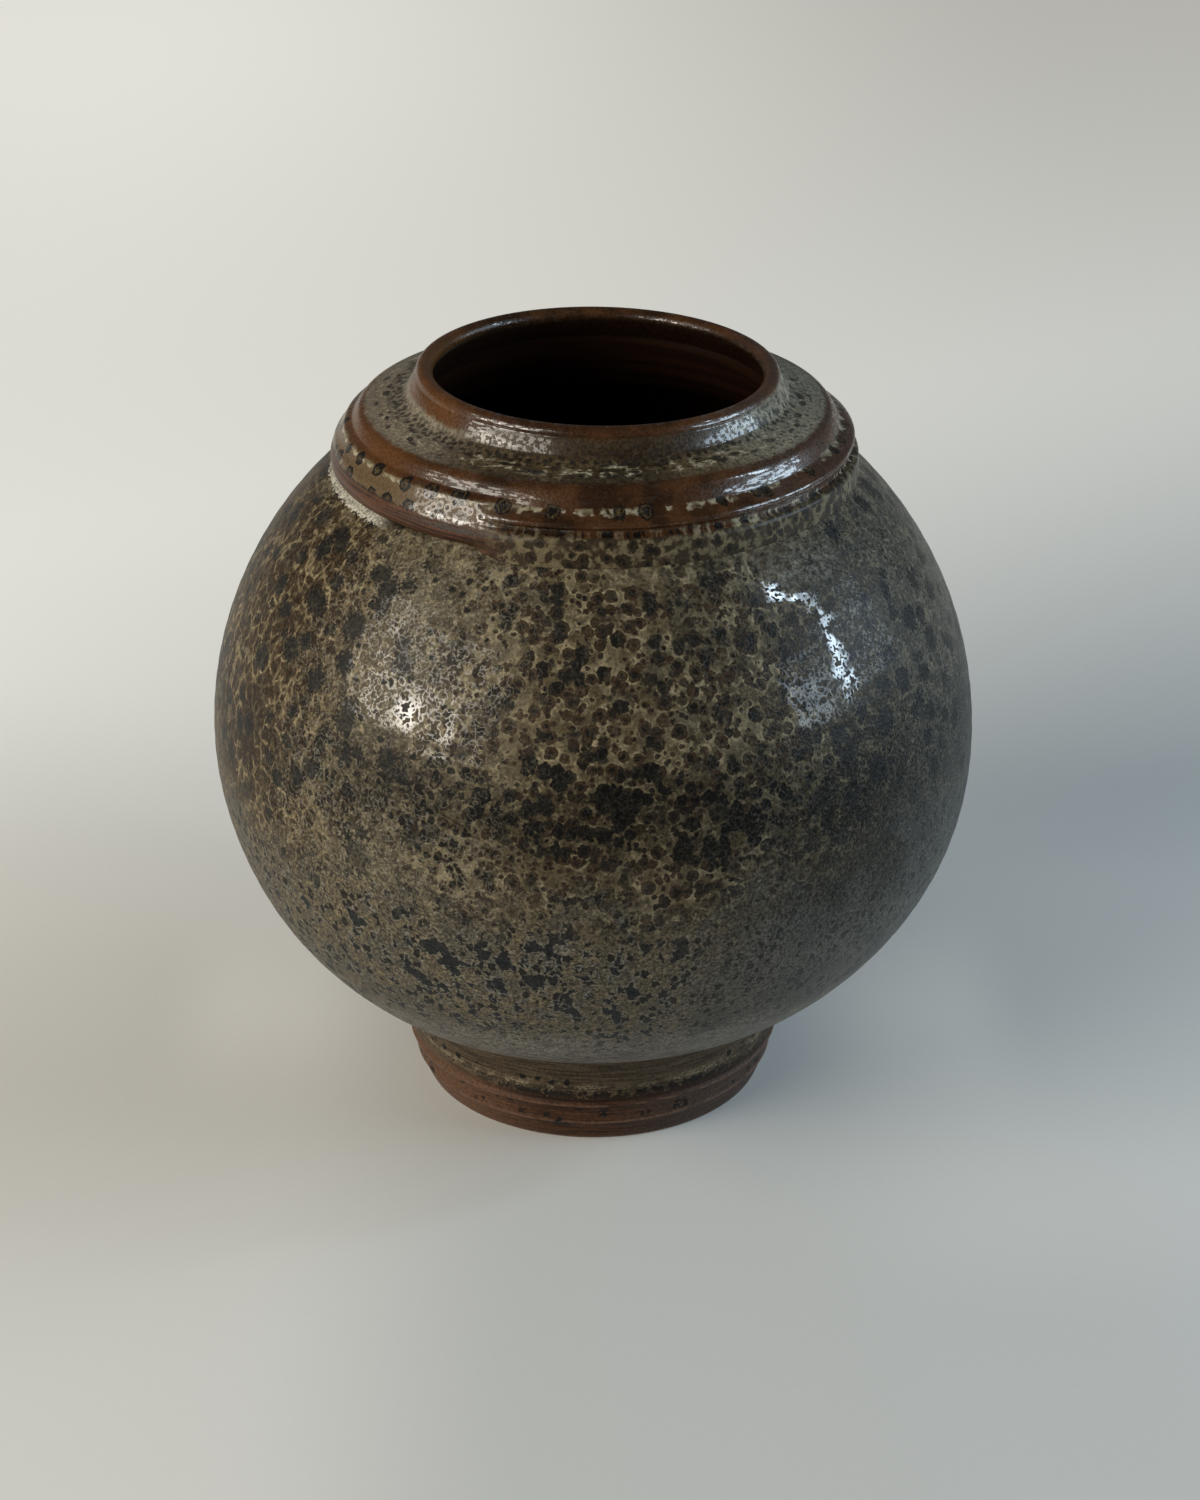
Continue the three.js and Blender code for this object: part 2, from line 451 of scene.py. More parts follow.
def out_of_round(turn, z):
    rings = RING_DEPTH * np.sin(math.tau * z / RING_PITCH + turn)
    rings *= smooth_rise(z, foot_top + 1, foot_top + 9) * smooth_rise(z, collar_seat - 1, collar_seat - 9)
    return rings + OVAL * np.cos(2 * turn + OVAL_TURN) * smooth_rise(z, *FREE_OF_TABLE)


def sideways(z):
    lean = BELLY_LEAN * bell(z, LEAN_HEIGHT, LEAN_REACH)
    lean = lean + COLLAR_OFFSET * smooth_rise(z, collar_seat - 6, collar_seat + 4)
    return lean + (NECK_OFFSET - COLLAR_OFFSET) * smooth_rise(z, neck_seat - 1.6, neck_seat + 0.8)


def up_and_down(turn, x, z):
    dip = -RIM_DIP * x / LIP_RADIUS * smooth_rise(z, neck_seat - 3, lip_top - 2)
    spiral = -GROOVE_SPIRAL * np.sin(turn) * bell(z, collar_seat + GROOVE_HEIGHT, GROOVE_REACH)
    wander = RIDGE_WANDER * np.sin(turn + WANDER_TURN) * bell(z, RIDGE_HEIGHT, RIDGE_REACH)
    return dip + spiral + wander * smooth_rise(z, *FREE_OF_TABLE)


def push_out_of_true(section):
    count = len(section.data.vertices)
    flat = np.empty(count * 3)
    section.data.vertices.foreach_get("co", flat)
    x, y, z = flat.reshape(-1, 3).T / MM
    if section is collar:
        x, y, z = drown_collar(x, y, z)
    turn = np.arctan2(x, -y)
    growth = 1 + out_of_round(turn, z) / np.maximum(np.hypot(x, y), 20)
    x = x * growth + sideways(z)
    y = y * growth
    z = z + up_and_down(turn, x, z)
    section.data.vertices.foreach_set("co", (np.stack([x, y, z], axis=1) * MM).ravel())
    section.data.update()
    return count


print("points moved", {name: push_out_of_true(piece) for name, piece in pieces.items()})

# %% [markdown]
# ## A short way to write shaders
# A glaze is mostly arithmetic on patterns. The class below wraps a socket, so that sums on it add Math
# nodes. A recipe is one material, and one method adds any other node to it: its settings go in first, then
# the values or links of its sockets. Three more methods shorten what is used most: vector maths, one part
# of a vector and the output that closes a material.

# %% Wires and recipes
class Wire:
    def __init__(self, recipe, socket):
        self.recipe = recipe
        self.socket = socket

    def math(self, operation, first, second):
        return self.recipe.node("ShaderNodeMath", {"operation": operation}, {0: first, 1: second})

    def __add__(self, other):
        return self.math("ADD", self, other)

    def __radd__(self, other):
        return self.math("ADD", other, self)

    def __sub__(self, other):
        return self.math("SUBTRACT", self, other)

    def __rsub__(self, other):
        return self.math("SUBTRACT", other, self)

    def __mul__(self, other):
        return self.math("MULTIPLY", self, other)

    def __rmul__(self, other):
        return self.math("MULTIPLY", other, self)

    def __truediv__(self, other):
        return self.math("DIVIDE", self, other)

    def at_most(self, other):
        return self.math("MINIMUM", self, other)

    def at_least(self, other):
        return self.math("MAXIMUM", self, other)


class Recipe:
    def __init__(self, name):
        self.material = bpy.data.materials.new(name)
        self.material.use_nodes = True
        self.tree = self.material.node_tree
        self.tree.nodes.clear()

    def node(self, kind, settings=None, inputs=None, output=0):
        made = self.tree.nodes.new(kind)
        for name, value in (settings or {}).items():
            setattr(made, name, value)
        for name, value in (inputs or {}).items():
            if isinstance(value, Wire):
                self.tree.links.new(value.socket, made.inputs[name])
            else:
                made.inputs[name].default_value = value
        return Wire(self, made.outputs[output])

    def vector(self, operation, inputs, output="Vector"):
        return self.node("ShaderNodeVectorMath", {"operation": operation}, inputs, output)

    def part(self, vector, axis):
        return self.node("ShaderNodeSeparateXYZ", {}, {0: vector}, output=axis)

    def closed(self, shader):
        out = self.tree.nodes.new("ShaderNodeOutputMaterial")
        self.tree.links.new(shader.socket, out.inputs["Surface"])
        print(self.material.name, len(self.tree.nodes), "nodes")
        return self.material


print("words of a recipe", [word for word in vars(Recipe) if not word.startswith("_")])

# %% [markdown]
# ## Words for a glaze
# On top of that come the few words that every glaze here is written with: a soft step, a window between
# two heights, the side of the pot that faces a direction, the turn round the pot, nearness to a point, and
# noise, grit, cells and discs of a size in millimetres. Positions are read from Object coordinates, so a
# pattern stays on the clay from every side. Directions are in degrees, with zero at the front and plus to
# the right.

# %% Patterns in millimetres
def paint(red, green, blue):
    channels = [c / 255 for c in (red, green, blue)]
    linear = [c / 12.92 if c < 0.04045 else ((c + 0.055) / 1.055) ** 2.4 for c in channels]
    return (*linear, 1.0)


class Glaze(Recipe):
    def __init__(self, name):
        super().__init__(name)
        place = self.node("ShaderNodeTexCoord", output="Object")
        self.spot = self.vector("SCALE", {0: place, "Scale": 1 / MM})
        level = self.vector("MULTIPLY", {0: self.spot, 1: (1, 1, 0)})
        self.outward = self.vector("NORMALIZE", {0: level})
        self.radius = self.vector("LENGTH", {0: level}, "Value")
        self.height = self.part(self.spot, "Z")

    def rise(self, value, low, high):
        settings = {"interpolation_type": "SMOOTHSTEP"}
        return self.node("ShaderNodeMapRange", settings, {0: value, 1: low, 2: high})

    def between(self, value, low, high, soft):
        return self.rise(value, low - soft, low + soft) * self.rise(value, high + soft, high - soft)

    def facing(self, turn, half, soft):
        angle = math.radians(turn)
        towards = (math.sin(angle), -math.cos(angle), 0)
        along = self.vector("DOT_PRODUCT", {0: self.outward, 1: towards}, "Value")
        outer = math.cos(math.radians(min(half + soft, 180)))
        inner = math.cos(math.radians(max(half - soft, 0)))
        return self.rise(along, outer, inner)

    def turn(self):
        x = self.part(self.spot, "X")
        return x.math("ARCTAN2", x, 0 - self.part(self.spot, "Y"))

    def near(self, middle, outer, inner):
        return self.rise(self.vector("DISTANCE", {0: self.spot, 1: middle}, "Value"), outer, inner)

    def stretched(self, scale):
        return self.vector("MULTIPLY", {0: self.spot, 1: scale})

    def round_the_pot(self, size, lift):
        around = self.vector("SCALE", {0: self.outward, "Scale": size})
        return self.vector("ADD", {0: around, 1: self.node("ShaderNodeCombineXYZ", {}, {2: lift})})

    def noise(self, where, size, detail=2.0, rough=0.5, output="Fac"):
        inputs = {"Vector": where, "Scale": 1 / size, "Detail": detail, "Roughness": rough}
        return self.node("ShaderNodeTexNoise", {"normalize": True}, inputs, output)

    def grit(self, size):
        return self.rise(self.noise(self.spot, size, 2.0, 0.6), 0.32, 0.68) - 0.5

    def warped(self, where, size, amount):
        drift = self.noise(where, size, 1.0, output="Color")
        return self.vector("MULTIPLY_ADD", {0: drift, 1: (amount, amount, amount), 2: where})

    def cells(self, where, size, feature="F1", output="Distance"):
        inputs = {"Vector": where, "Scale": 1 / size}
        return self.node("ShaderNodeTexVoronoi", {"feature": feature}, inputs, output)

    def luck(self, colour):
        return self.node("ShaderNodeSeparateColor", {}, {0: colour}, output="Red")

    def discs(self, where, size, least, spread):
        luck = self.luck(self.cells(where, size, output="Color"))
        return self.cells(where, size) / (least + luck * spread), luck

    def blend(self, under, over, share):
        return self.node("ShaderNodeMix", {"data_type": "RGBA"}, {0: share, 6: under, 7: over}, output=2)

    def shaded(self, colour, share):
        settings = {"data_type": "RGBA", "blend_type": "MULTIPLY"}
        grey = self.node("ShaderNodeCombineColor", {}, {0: share, 1: share, 2: share})
        return self.node("ShaderNodeMix", settings, {0: 1.0, 6: colour, 7: grey}, output=2)

    def fire(self, colour, roughness, relief, depth, glassiness, coat=0.0, haze=0.06, shell=1.8):
        bump = self.node("ShaderNodeBump", {}, {"Height": relief, "Distance": depth * MM, "Strength": 1.0})
        surface = {"Base Color": colour, "Roughness": roughness, "Normal": bump, "IOR": glassiness}
        surface |= {"Coat Weight": coat, "Coat Roughness": haze, "Coat IOR": shell}
        return self.closed(self.node("ShaderNodeBsdfPrincipled", {}, surface))


print("words of a glaze", [word for word in vars(Glaze) if not word.startswith("_")])

# %% [markdown]
# ## The globe's glaze: zones
# The glaze lies differently on every side of the globe, and differently above and below the belly. So the
# first step is a map: soft windows in direction, a wavy border round the belly, a pale heel over the foot,
# partly painted reflection of the table, and a dark band where the glaze lay thickest, which also carries
# painted shade. A few noises that several patterns share are made here as well.

# %% Divide the globe into zones
GLOBE_SIDES = {
    "front": (5.0, 27.0, 12.0),
    "near_left": (-32.0, 16.0, 10.0),
    "left": (-66.0, 22.0, 11.0),
    "right": (58.0, 36.0, 15.0),
    "back": (180.0, 74.0, 14.0),
}
BELLY_BORDER = (74.0, 94.0)
DARK_BAND = (88.0, 104.0)
HEEL_BORDER = (46.0, 35.0)


def globe_zones():
    g = Glaze("globe_glaze")
    for side, (turn, half, soft) in GLOBE_SIDES.items():
        setattr(g, side, g.facing(turn, half, soft))
    g.cloud = g.noise(g.spot, 24.0, 3.0)
    g.patch = g.noise(g.spot, 7.0, 3.0)
    g.fine = g.grit(0.62)
    g.curl = g.noise(g.warped(g.spot, 0.9, 0.5), 1.3, 1.0)
    g.squiggle = g.between(g.curl, 0.47, 0.53, 0.025)
    g.run = g.noise(g.warped(g.stretched((1, 1, 0.55)), 4.0, 1.5), 5.0, 2.0)
    g.wavy = g.height + (g.cloud - 0.5) * 30 + (g.patch - 0.5) * 14
    g.above = g.rise(g.wavy + g.front * 6 + g.left * 4 + g.near_left * 4, *BELLY_BORDER)
    g.below = 1 - g.above
    g.heel = g.rise(g.wavy, *HEEL_BORDER)
    g.band = g.between(g.height + (g.cloud - 0.5) * 16 + g.right * 3, *DARK_BAND, 7.0)
    spotted = g.front + g.back * 0.9 + g.near_left * (0.3 + g.band * 0.6) + g.left * 0.2 + g.right * 0.35
    g.spotted = spotted.at_most(1.0)
    return g


print("sides of the globe", list(GLOBE_SIDES))

# %% Lay the globe's ground
INK = paint(19, 19, 17)
BARK, FAWN = paint(58, 48, 33), paint(80, 69, 50)
DRAB_AND_SHEEN, PEAT, MUD = paint(98, 91, 76), paint(50, 36, 19), paint(82, 75, 62)
DARK_SLATE, SLATE, EDGE_SHEEN_SLATE = paint(40, 38, 32), paint(84, 82, 76), paint(88, 86, 80)
HEEL_GREY_AND_SHEEN, HEM_GREY_AND_SHEEN = paint(94, 88, 77), paint(116, 111, 102)
DARK_KHAKI, KHAKI = paint(88, 78, 57), paint(140, 129, 102)
SLATE_BORDER = (80.0, 58.0)
HEM_BORDER = (46.0, 38.0)


def globe_ground(g):
    g.khaki = g.blend(DARK_KHAKI, KHAKI, g.rise(g.noise(g.spot, 2.6, 2.0), 0.4, 0.62))
    ground = g.blend(BARK, FAWN, g.rise(g.patch, 0.38, 0.62))
    # The near left gets a paler drab ground: partly the glaze's colour, partly painted sheen of the warm
    # window.
    ground = g.blend(ground, DRAB_AND_SHEEN, g.near_left * (1 - g.band * 0.6))
    ground = g.blend(ground, PEAT, g.left)
    ground = g.blend(ground, MUD, g.below)
    dim = g.blend(DARK_SLATE, SLATE, g.rise(g.wavy, *SLATE_BORDER))
    ground = g.blend(ground, dim, g.right * (0.75 + g.below * 0.25))
    # Painted reflection: the far right edge of the globe is paled, as glaze at a grazing angle mirrors the
    # bright room.
    ground = g.blend(ground, EDGE_SHEEN_SLATE, g.facing(80.0, 22.0, 12.0) * 0.5)
    # The heel and the hem over the foot turn pale grey: partly the glaze's own grey, partly painted
    # reflection of the pale table.
    ground = g.blend(ground, HEEL_GREY_AND_SHEEN, g.heel)
    return g.blend(ground, HEM_GREY_AND_SHEEN, g.rise(g.height + (g.patch - 0.5) * 4, *HEM_BORDER))


print("pale hem over the foot below", HEM_BORDER[0], "mm")

# %% [markdown]
# ## The globe's glaze: spots and runs
# As it boiled in the kiln the glaze broke into cells: dark discs with a darker eye in a khaki network,
# like the spots of a leopard. The distance inside a Voronoi cell draws the discs, a random value of each
# cell makes them differ in size, and a warp of the position takes away their regular look. On the left,
# where the glaze ran, a web of cells and brown streaks take over, ringed spots lie next to it, and dark
# blots lie over all of it.

# %% Spot the upper half
DISC_SIZE = 2.9
SMALL_DISC_SIZE = 1.6
PALER_ABOVE = (104.0, 116.0)
DISC_BROWN = paint(63, 49, 34)


def leopard_spots(g, ground):
    place = g.warped(g.spot, 1.1, 0.6)
    disc, luck = g.discs(place, DISC_SIZE, 0.36, 0.2)
    disc = disc.at_most(g.cells(place, SMALL_DISC_SIZE) / 0.36) + g.fine * 0.08
    inside = g.rise(disc, 1.05, 0.93)
    eye = g.rise(disc, 0.76, 0.42) + g.between(disc, 0.86, 0.98, 0.06) * 0.5
    darkness = luck * 0.5 + g.noise(g.spot, 8.0, 2.0) + g.band * 0.2 + g.fine * 0.1
    dark = g.rise(darkness - g.rise(g.height, *PALER_ABOVE) * 0.05, 0.87, 1.0)
    faded = g.rise(g.patch, 0.48, 0.6)
    cluster = g.rise(g.noise(g.spot, 4.6, 2.0) + g.band * 0.08 + g.fine * 0.05, 0.61, 0.67)
    outline = g.rise(disc, 1.0, 1.12) * (0.45 + g.rise(disc, 1.55, 1.25) * 0.55)
    spots = g.blend(ground, g.khaki, outline * (1 - g.band * 0.3) * (0.95 - faded * 0.5))
    spots = g.blend(spots, DISC_BROWN, inside * 0.92)
    spots = g.blend(spots, INK, inside * eye.at_most(1.0) * 0.85)
    spots = g.blend(spots, INK, (inside * dark).at_least(cluster) * 0.92)
    g.eyes = inside * eye * g.spotted * g.above
    return g.blend(ground, spots, g.spotted)


print("discs", DISC_SIZE, "and", SMALL_DISC_SIZE, "mm apart")

# %% Let the left side run
WEB_SIZE = 2.7
RING_SIZE = 3.6
BLOT_SIZE = 6.4
RUN_TAN, RUN_BROWN = paint(138, 122, 92), paint(38, 28, 18)
THREAD_AND_GLINT_GREY, BLOT_BLACK = paint(136, 130, 114), paint(27, 28, 28)


def runs_and_rings(g, upper):
    web_place = g.warped(g.warped(g.stretched((1, 1, 0.8)), 1.5, 1.0), 5.0, 2.0)
    web = g.rise(g.cells(web_place, WEB_SIZE, "DISTANCE_TO_EDGE") + g.fine * 0.07, 0.14, 0.05)
    web = web * g.rise(g.noise(g.spot, 3.2, 2.0), 0.38, 0.54)
    tan = g.blend(g.khaki, RUN_TAN, g.left * 0.5)
    upper = g.blend(upper, tan, web * (g.left + g.near_left * 0.35) * 0.8)
    upper = g.blend(upper, RUN_BROWN, g.rise(g.run, 0.5, 0.58) * g.left * 0.65)
    # Pale threads along the squiggles: partly glaze lines, partly painted glints, strongest on the near left
    # under the warm window.
    threads_and_glints = g.near_left * 0.45 + g.front * 0.1 + g.left * 0.12 + g.right * 0.16
    upper = g.blend(upper, THREAD_AND_GLINT_GREY, g.squiggle * threads_and_glints)
    ring = g.cells(g.warped(g.spot, 1.0, 0.5), RING_SIZE) + g.fine * 0.05
    ringed = g.near_left + g.right * 0.5
    upper = g.blend(upper, g.khaki, g.between(ring, 0.27, 0.33, 0.03) * ringed * 0.7)
    upper = g.blend(upper, INK, g.rise(ring, 0.27, 0.17) * ringed * 0.9)
    blot, _ = g.discs(g.warped(g.warped(g.spot, 1.6, 1.2), 0.7, 0.5), BLOT_SIZE, 0.26, 0.28)
    blot = g.rise(blot + g.fine * 0.4, 1.05, 0.7)
    return g.blend(upper, BLOT_BLACK, blot * (1 - g.front * 0.5) * 0.85)


print("web", WEB_SIZE, "rings", RING_SIZE, "blots", BLOT_SIZE, "mm apart")

# %% [markdown]
# ## The globe's glaze: below the belly
# Below the belly the cells are too small to read as spots. What shows is a fine mottle with dark ticks,
# and at the front left a patch of blue-black pools with pale rims. Towards the foot all of it fades into
# plain grey. The tick and its rim come from one distance, so the rim always fits its tick, and so it is
# with the pools.

# %% Mottle the lower half
TICK_SIZE = 2.1
MOTTLE_GREY, FLECK_TAN = paint(70, 69, 65), paint(116, 104, 80)
WARM_THREAD_AND_GLINT, COOL_THREAD_AND_GLINT = paint(130, 120, 96), paint(92, 94, 93)
TICK_RIM, TICK_BLACK, SMEAR_BROWN = paint(106, 103, 94), paint(26, 26, 25), paint(54, 50, 45)


def mottled_half(g, ground):
    tick, _ = g.discs(g.warped(g.stretched((1, 1, 0.8)), 0.9, 0.7), TICK_SIZE, 0.16, 0.32)
    tick = tick + g.fine * 0.4
    g.ticks = g.rise(tick, 1.1, 0.85)
    clear = 1 - g.heel
    fleck = g.rise(g.noise(g.warped(g.spot, 1.0, 0.8), 1.5, 3.0), 0.52, 0.62)
    grey = g.rise(g.noise(g.spot, 9.0, 2.0), 0.44, 0.6)
    mottle = g.blend(ground, MOTTLE_GREY, grey * clear * 0.6)
    mottle = g.blend(mottle, FLECK_TAN, fleck * (1 - g.right) * clear * (0.6 - grey * 0.35))
    # Pale threads on the mottle: partly glaze lines, partly painted glints.
    thread_and_glint = g.blend(WARM_THREAD_AND_GLINT, COOL_THREAD_AND_GLINT, g.right)
    mottle = g.blend(mottle, thread_and_glint, g.squiggle * clear * (0.4 - g.right * 0.2))
    rims = g.between(tick, 1.1, 1.35, 0.1) * clear
    mottle = g.blend(mottle, TICK_RIM, rims * (0.4 - g.right * 0.25))
    ticks = g.ticks * (1 - g.heel * 0.75) * (1 - g.right * 0.4)
    mottle = g.blend(mottle, TICK_BLACK, ticks * 0.92)
    smear = g.noise(g.stretched((0.3, 0.3, 1.6)), 1.0, 3.0)
    return g.blend(mottle, SMEAR_BROWN, g.rise(smear, 0.5, 0.62) * g.heel * 0.6)


print("ticks", TICK_SIZE, "mm apart")

# %% Pool the glaze at the front left
POOL_SIZE = 3.2
POOL_MIDDLE = (-18.0, -70.0, 66.0)
POOL_RIM, POOL_BLUE = paint(110, 109, 102), paint(31, 34, 36)


def pooled_glaze(g, mottle):
    place = g.warped(g.stretched((1, 1, 0.85)), 0.9, 0.5)
    thickest = g.near(POOL_MIDDLE, 22.0, 6.0)
    pool = g.noise(place, POOL_SIZE, 3.0) + (g.cloud - 0.5) * 0.15 + thickest * 0.06 - 0.03
    zone = (1 - g.heel) * (g.facing(-22.0, 34.0, 14.0) + 0.35).at_most(1.0) * (1 - g.right * 0.6)
    mottle = g.blend(mottle, POOL_RIM, g.between(pool, 0.53, 0.56, 0.012) * zone * 0.7)
    return g.blend(mottle, POOL_BLUE, g.rise(pool, 0.56, 0.58) * zone * 0.95)


print("pools thickest at", POOL_MIDDLE)

# %% [markdown]
# ## The globe's glaze: under the collar, and its gloss
# Just under the collar the glaze hangs in a khaki fringe, with a misty patch on the right and a pale
# crescent on the left. The surface is mostly dull. It is glassy only in broken patches, where the windows
# glint in it, so the coat of the shader takes the strongest of a few places, cut into flakes by noise.

# %% Edge the glaze under the collar
MIST_HEIGHTS = (131.0, 137.0)
MIST_GREY, CRESCENT_GREY = paint(128, 124, 113), paint(172, 168, 154)


def under_the_collar(g, colour):
    drip = g.height + (g.run - 0.5) * 14
    fringe = g.rise(drip, collar_seat - 6, collar_seat - 2) * g.rise(g.patch, 0.44, 0.6)
    colour = g.blend(colour, g.khaki, fringe * 0.45)
    mist = g.facing(42.0, 6.0, 9.0) * g.between(g.height + (g.patch - 0.5) * 10, *MIST_HEIGHTS, 4.0)
    colour = g.blend(colour, MIST_GREY, mist * g.rise(g.curl, 0.3, 0.75) * 0.75)
    crescent = g.rise(g.height + g.fine * 0.6, collar_seat - 1.6, collar_seat - 1.3)
    return g.blend(colour, CRESCENT_GREY, g.facing(-75.0, 24.0, 3.0) * crescent)


print("mist at", MIST_HEIGHTS, "mm up")

# %% Break up the gloss
WARM_GLINTS = (
    ((-35.6, -64.5, 112.8), 4.8, 0.5, 0.7),
    ((-38.1, -54.5, 126.3), 2.8, 1.0, 0.5),
    ((-28.0, -69.3, 110.3), 3.5, 1.0, 0.15),
)
COOL_GLINT = (49.6, -52.4, 115.8)
UPRIGHT_TOP = (130.0, 120.0)
UPRIGHT_FOOT = (109.5, 113.0)
BAR_HEIGHTS = (127.0, 135.0)
DULL_HEIGHTS = (108.0, 117.0)


def globe_gloss(g):
    broken = g.rise(g.noise(g.spot, 2.8, 2.0), 0.4, 0.56)
    upright = g.facing(43.4, 1.4, 0.7).at_least(g.near(COOL_GLINT, 5.0, 2.0)) * broken
    tall = g.height + (g.curl - 0.5) * 14
    shine = upright * g.rise(tall, *UPRIGHT_TOP) * g.rise(g.height, *UPRIGHT_FOOT)
    bar = g.facing(36.0, 5.4, 1.2) * g.between(g.height + (g.curl - 0.5) * 6, *BAR_HEIGHTS, 1.5)
    shine = shine.at_least(bar * (0.15 + broken * 0.6))
    dull = g.facing(35.0, 4.5, 1.5) * g.between(g.height, *DULL_HEIGHTS, 1.5)
    shine = shine.at_least(dull * 0.1)
    for middle, outer, inner, strength in WARM_GLINTS:
        shine = shine.at_least(g.near(middle, outer, inner) * strength)
    flake = g.between(g.curl, 0.42, 0.58, 0.03)
    coat = flake * shine + (g.squiggle * 0.2 + flake * 0.03) * g.near_left * g.above
    return coat + g.squiggle * g.right * g.above * 0.08


print("warm glints", len(WARM_GLINTS), "cool glint at", COOL_GLINT)

# %% Mix the globe's glaze
def globe_glaze():
    g = globe_zones()
    ground = globe_ground(g)
    upper = runs_and_rings(g, leopard_spots(g, ground))
    lower_half = pooled_glaze(g, mottled_half(g, ground))
    colour = under_the_collar(g, g.blend(lower_half, upper, g.above))
    grain = g.fine * (1.14 - g.spotted * g.above * 0.6)
    # The dark band is darkened further as painted shade, least on the lit left; its black clusters are the
    # glaze's own.
    belt_shade = g.band * (1 - g.left * 0.7) * (0.44 - g.front * 0.08)
    colour = g.shaded(colour, 0.97 + grain - belt_shade)
    roughness = 0.44 + g.fine * 0.16 - g.right * g.above * 0.06
    relief = g.fine * 0.6 + g.squiggle * 0.4 - g.eyes * 0.4 - g.ticks * g.below * 0.4
    gloss = globe_gloss(g)
    return g.fire(colour, roughness, relief, depth=0.07, glassiness=1.22, coat=gloss, haze=0.05, shell=2.15)


body_glaze = globe_glaze()

# %% [markdown]
# ## The collar's glaze: zones and deck
# On the collar the same glaze runs thin over the edges, where iron burns it to rust, and gathers in the
# grooves, where it stays cream with dark, ring-eyed spots. Rust follows the tiers and the lip, so the
# windows are set by height and by distance from the axis. The deck is olive with dark specks and a torn
# ring of cream, and paled on its left and right with painted sheen.

# %% Divide the collar into zones
TIER_RUST = (paint(44, 27, 13), paint(76, 48, 25), paint(98, 64, 34), paint(78, 57, 45))
POOR_CREAM, CREAM = paint(112, 103, 82), paint(168, 160, 136)
SOOT = paint(22, 19, 16)
TIERS_INNER = (45.4, 46.6)
TIERS_TOP = (13.2, 12.6)
OUTER_TIERS = (48.6, 49.3)


def collar_zones():
    g = Glaze("collar_glaze")
    g.left = g.facing(-84.0, 40.0, 14.0)
    g.right = g.facing(82.0, 38.0, 16.0)
    g.thick_side = g.facing(THICK_SIDE, 56.0, 6.0)
    g.fine = g.grit(0.6)
    g.wave = g.noise(g.spot, 7.0, 2.0)
    g.ragged = g.noise(g.spot, 1.8, 2.0) - 0.5
    g.level = g.height + (g.wave - 0.5) * 0.6 - collar_seat
    g.torn = g.level + g.ragged * 1.4
    g.segment = g.noise(g.round_the_pot(50.0, g.height * 0.3), 5.0, 2.0) + g.ragged * 0.2
    reach = g.radius + g.ragged * 1.2 - g.right * 0.9
    g.on_tiers = g.rise(reach, *TIERS_INNER) * g.rise(g.level, *TIERS_TOP)
    g.outer = g.rise(g.radius, *OUTER_TIERS)
    thin, usual, left_rust, right_rust = TIER_RUST
    g.rust = g.blend(thin, usual, g.rise(g.wave, 0.32, 0.66))
    g.rust = g.blend(g.rust, left_rust, g.left * 0.6)
    g.rust = g.blend(g.rust, right_rust, g.right * 0.6)
    g.cream = g.blend(POOR_CREAM, CREAM, g.rise(g.ragged, -0.1, 0.12))
    return g


print("tiers start", TIERS_INNER[0], "mm from the axis")

# %% Speckle the deck
DARK_OLIVE, OLIVE = paint(54, 43, 26), paint(82, 69, 47)
LEFT_DECK_SHEEN, RIGHT_DECK_SHEEN, DECK_FLECK = paint(126, 117, 101), paint(132, 125, 107), paint(128, 118, 95)
DECK_ROOT = (37.8, 40.8)
DECK_STEP = (40.8, 44.0)


def collar_deck(g):
    deck = g.blend(DARK_OLIVE, OLIVE, g.rise(g.noise(g.spot, 14.0, 2.0), 0.36, 0.62))
    # Painted sheen: the deck is paled on its left and right, where the windows' sheen lies on it.
    deck = g.blend(deck, LEFT_DECK_SHEEN, g.left)
    deck = g.blend(deck, RIGHT_DECK_SHEEN, g.right)
    speck = g.cells(g.warped(g.spot, 0.9, 0.7), 1.3)
    deck = g.blend(deck, SOOT, g.rise(speck, 0.42, 0.24) * (0.6 - g.left * 0.35))
    deck = g.blend(deck, DECK_FLECK, g.rise(g.ragged, 0.08, 0.16) * 0.35)
    root = g.between(g.radius, *DECK_ROOT, 0.8)
    deck = g.blend(deck, SOOT, root * g.rise(speck, 0.66, 0.4) * 0.7)
    ringwise = g.warped(g.round_the_pot(18.0, g.radius), 1.5, 0.8)
    wisp = g.between(g.noise(ringwise, 1.8, 2.0), 0.44, 0.54, 0.015)
    step = g.between(g.radius + g.ragged * 2, *DECK_STEP, 0.5)
    deck = g.blend(deck, g.cream, step * wisp * g.rise(g.segment, 0.43, 0.5) * 0.9)
    ovals = g.cells(g.warped(g.round_the_pot(26.0, g.radius), 1.2, 0.6), 2.4)
    return g.blend(deck, SOOT, step * g.rise(ovals, 0.4, 0.28) * 0.8)


print("torn ring of cream", DECK_STEP, "mm from the axis")

# %% [markdown]
# ## The collar's glaze: tiers and grooves
# Round the tiers run broken cream lines with dark spots strung along them. A Voronoi pattern in one
# dimension, read along the turn round the pot, spaces such a row: its distance gives the spots and its
# colour their luck. Below it the undercut is ticked with cream and soot, and drips hide the bottom tier
# where it is drowned.

# %% Line the tiers
BAND_BROWN, EYE_TAN = paint(98, 84, 62), paint(96, 78, 50)
FULL_BAND = (3.8, 8.7)
UPPER_LINE = (7.9, 8.6)
LOWER_LINE = (4.5, 5.5)
SPOT_RADIUS = 50
UPPER_ROW = {"row": 8.2, "per_radian": 5.6}
LOWER_ROW = {"row": 5.0, "per_radian": 7.4}


